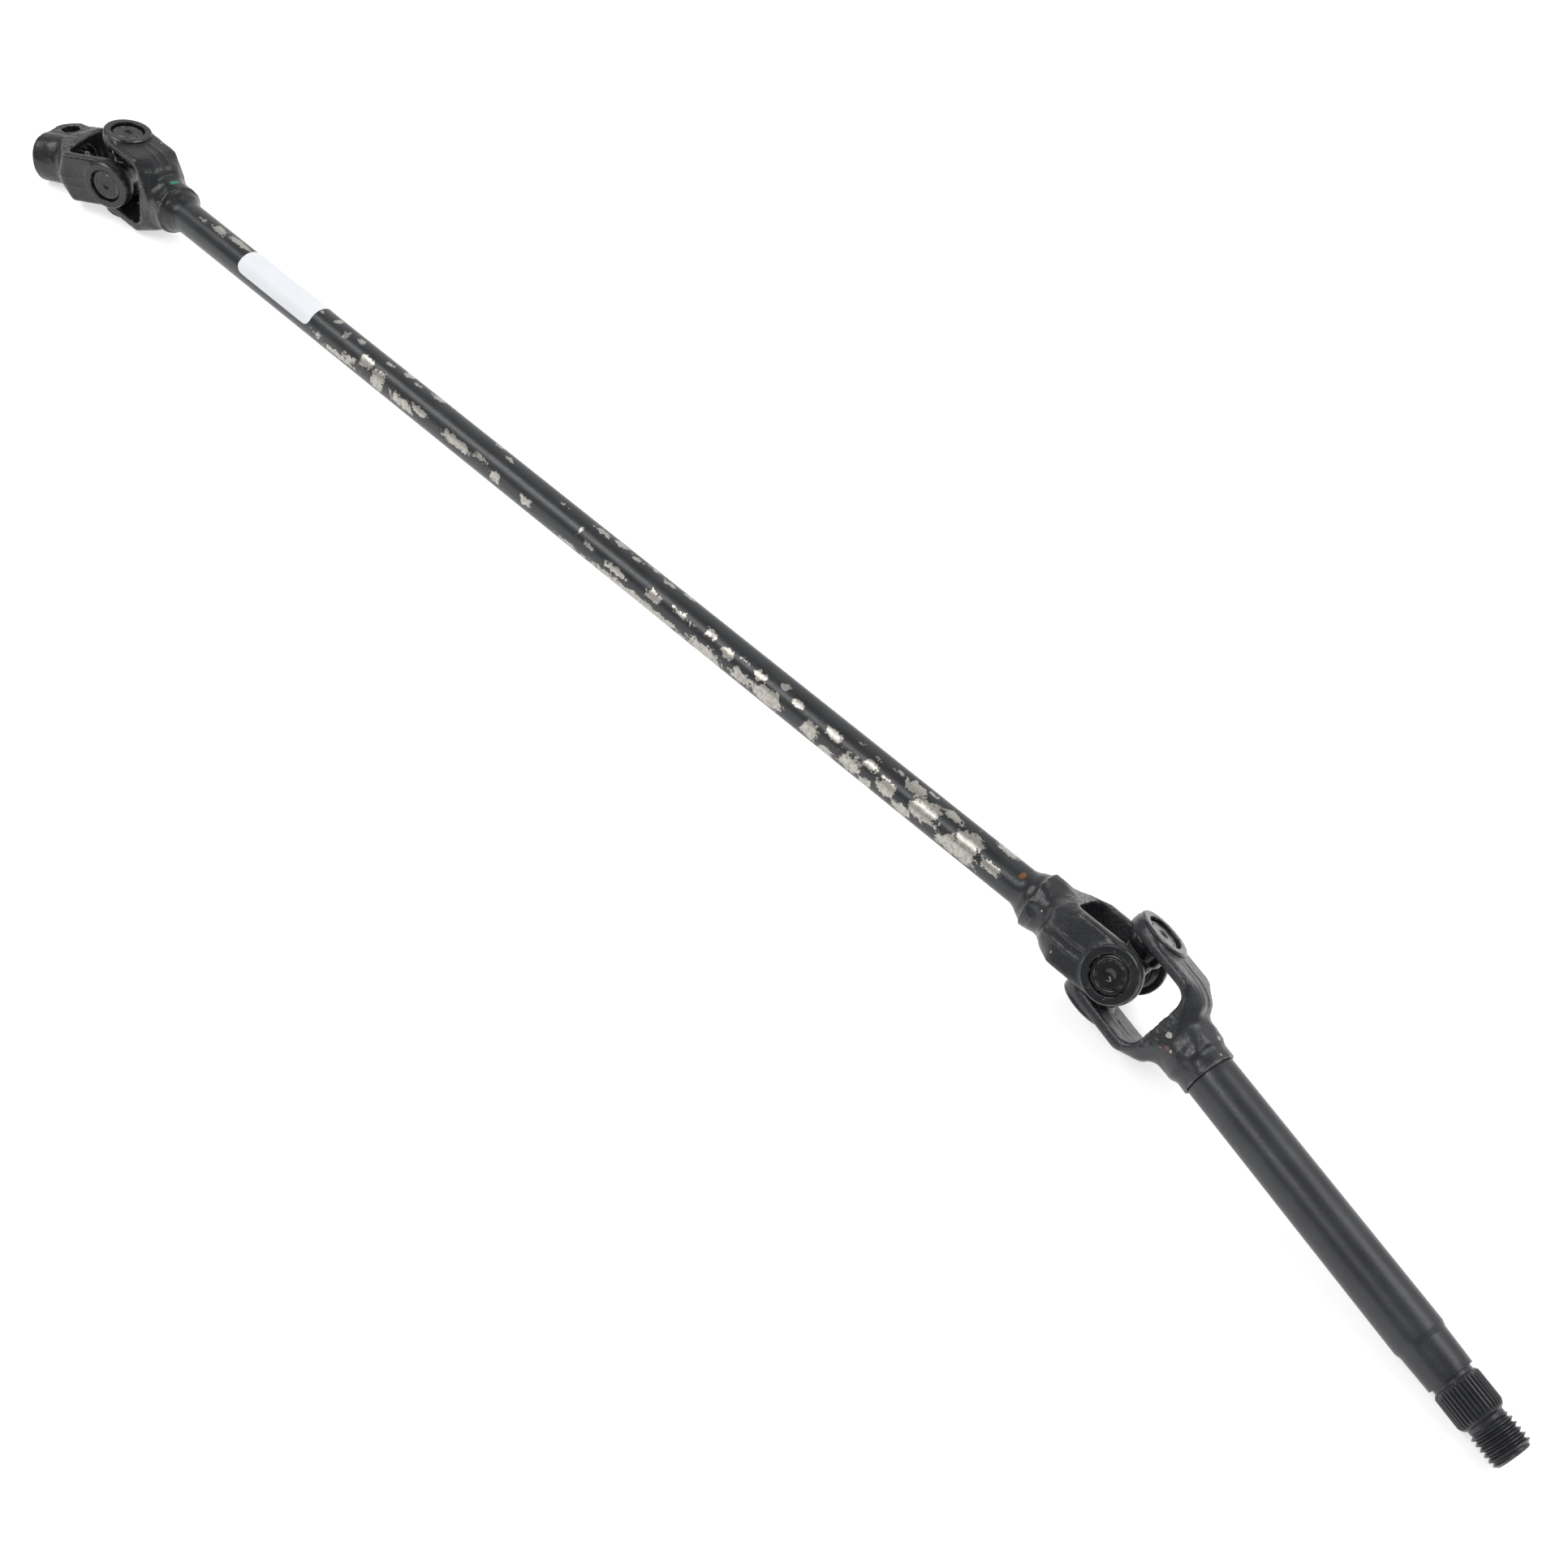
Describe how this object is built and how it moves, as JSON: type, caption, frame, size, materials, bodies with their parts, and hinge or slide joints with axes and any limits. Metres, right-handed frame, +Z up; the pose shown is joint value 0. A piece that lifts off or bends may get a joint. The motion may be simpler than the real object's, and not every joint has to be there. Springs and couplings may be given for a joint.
{
  "type": "steering shaft",
  "caption": "Jointed steering shaft: a clamp yoke, a long shaft between two universal joints, and a splined and threaded column shaft.",
  "frame": {"origin": "on the surface that the part lies on, below the middle of the whole", "axes": "+X along the long shaft, from the clamp yoke to the threaded tip; +Z up"},
  "size_m": [0.8886, 0.0774, 0.0482],
  "materials": {
    "painted_forging": "black satin paint on a rough forging, a little chipped",
    "painted_shaft": "black satin paint, heavily chipped to bare metal",
    "painted_column": "dark grey satin paint, stained",
    "painted_cup": "glossy black paint over a turned face",
    "cross_steel": "dark oiled steel",
    "needle_steel": "ground steel",
    "seal_rubber": "black rubber, oily",
    "label_paper": "blank white self-adhesive label"
  },
  "bodies": {
    "long_shaft": {"main_shaft": "painted_shaft", "paper_label": "label_paper", "upper_shaft_yoke": "painted_forging", "upper_shaft_yoke_cup_a": "painted_cup", "upper_shaft_yoke_cup_b": "painted_cup", "upper_shaft_yoke_needles_a": "needle_steel", "upper_shaft_yoke_needles_b": "needle_steel", "lower_shaft_yoke": "painted_forging", "lower_shaft_yoke_cup_a": "painted_cup", "lower_shaft_yoke_cup_b": "painted_cup", "lower_shaft_yoke_needles_a": "needle_steel", "lower_shaft_yoke_needles_b": "needle_steel"},
    "upper_cross_body": {"upper_cross": "cross_steel", "upper_shaft_yoke_seal_a": "seal_rubber", "upper_shaft_yoke_seal_b": "seal_rubber", "clamp_yoke_seal_a": "seal_rubber", "clamp_yoke_seal_b": "seal_rubber"},
    "clamp_end": {"clamp_yoke": "painted_forging", "clamp_yoke_cup_a": "painted_cup", "clamp_yoke_cup_b": "painted_cup", "clamp_yoke_needles_a": "needle_steel", "clamp_yoke_needles_b": "needle_steel"},
    "lower_cross_body": {"lower_cross": "cross_steel", "lower_shaft_yoke_seal_a": "seal_rubber", "lower_shaft_yoke_seal_b": "seal_rubber", "column_yoke_seal_a": "seal_rubber", "column_yoke_seal_b": "seal_rubber"},
    "column_end": {"column_shaft": "painted_column", "column_yoke": "painted_forging", "column_yoke_cup_a": "painted_cup", "column_yoke_cup_b": "painted_cup", "column_yoke_needles_a": "needle_steel", "column_yoke_needles_b": "needle_steel"}
  },
  "joints": [
    {"name": "upper_cross_in_shaft_yoke", "type": "hinge", "parent": "long_shaft", "child": "upper_cross_body", "pos_m": [-0.39588, 0.01469, 0.0214], "axis": [-0.0045, 0, 1], "range_deg": [-55, 5]},
    {"name": "clamp_yoke_on_upper_cross", "type": "hinge", "parent": "upper_cross_body", "child": "clamp_end", "pos_m": [-0.39588, 0.01469, 0.0214], "axis": [0.4207, -0.9072, 0.0019], "range_deg": [-42, 18]},
    {"name": "lower_cross_in_shaft_yoke", "type": "hinge", "parent": "long_shaft", "child": "lower_cross_body", "pos_m": [0.24211, 0.01469, 0.02428], "axis": [-0.0023, -0.866, 0.5], "range_deg": [-19, 41]},
    {"name": "column_yoke_on_lower_cross", "type": "hinge", "parent": "lower_cross_body", "child": "column_end", "pos_m": [0.24211, 0.01469, 0.02428], "axis": [-0.1824, -0.4912, -0.8517], "range_deg": [-39, 21]}
  ]
}
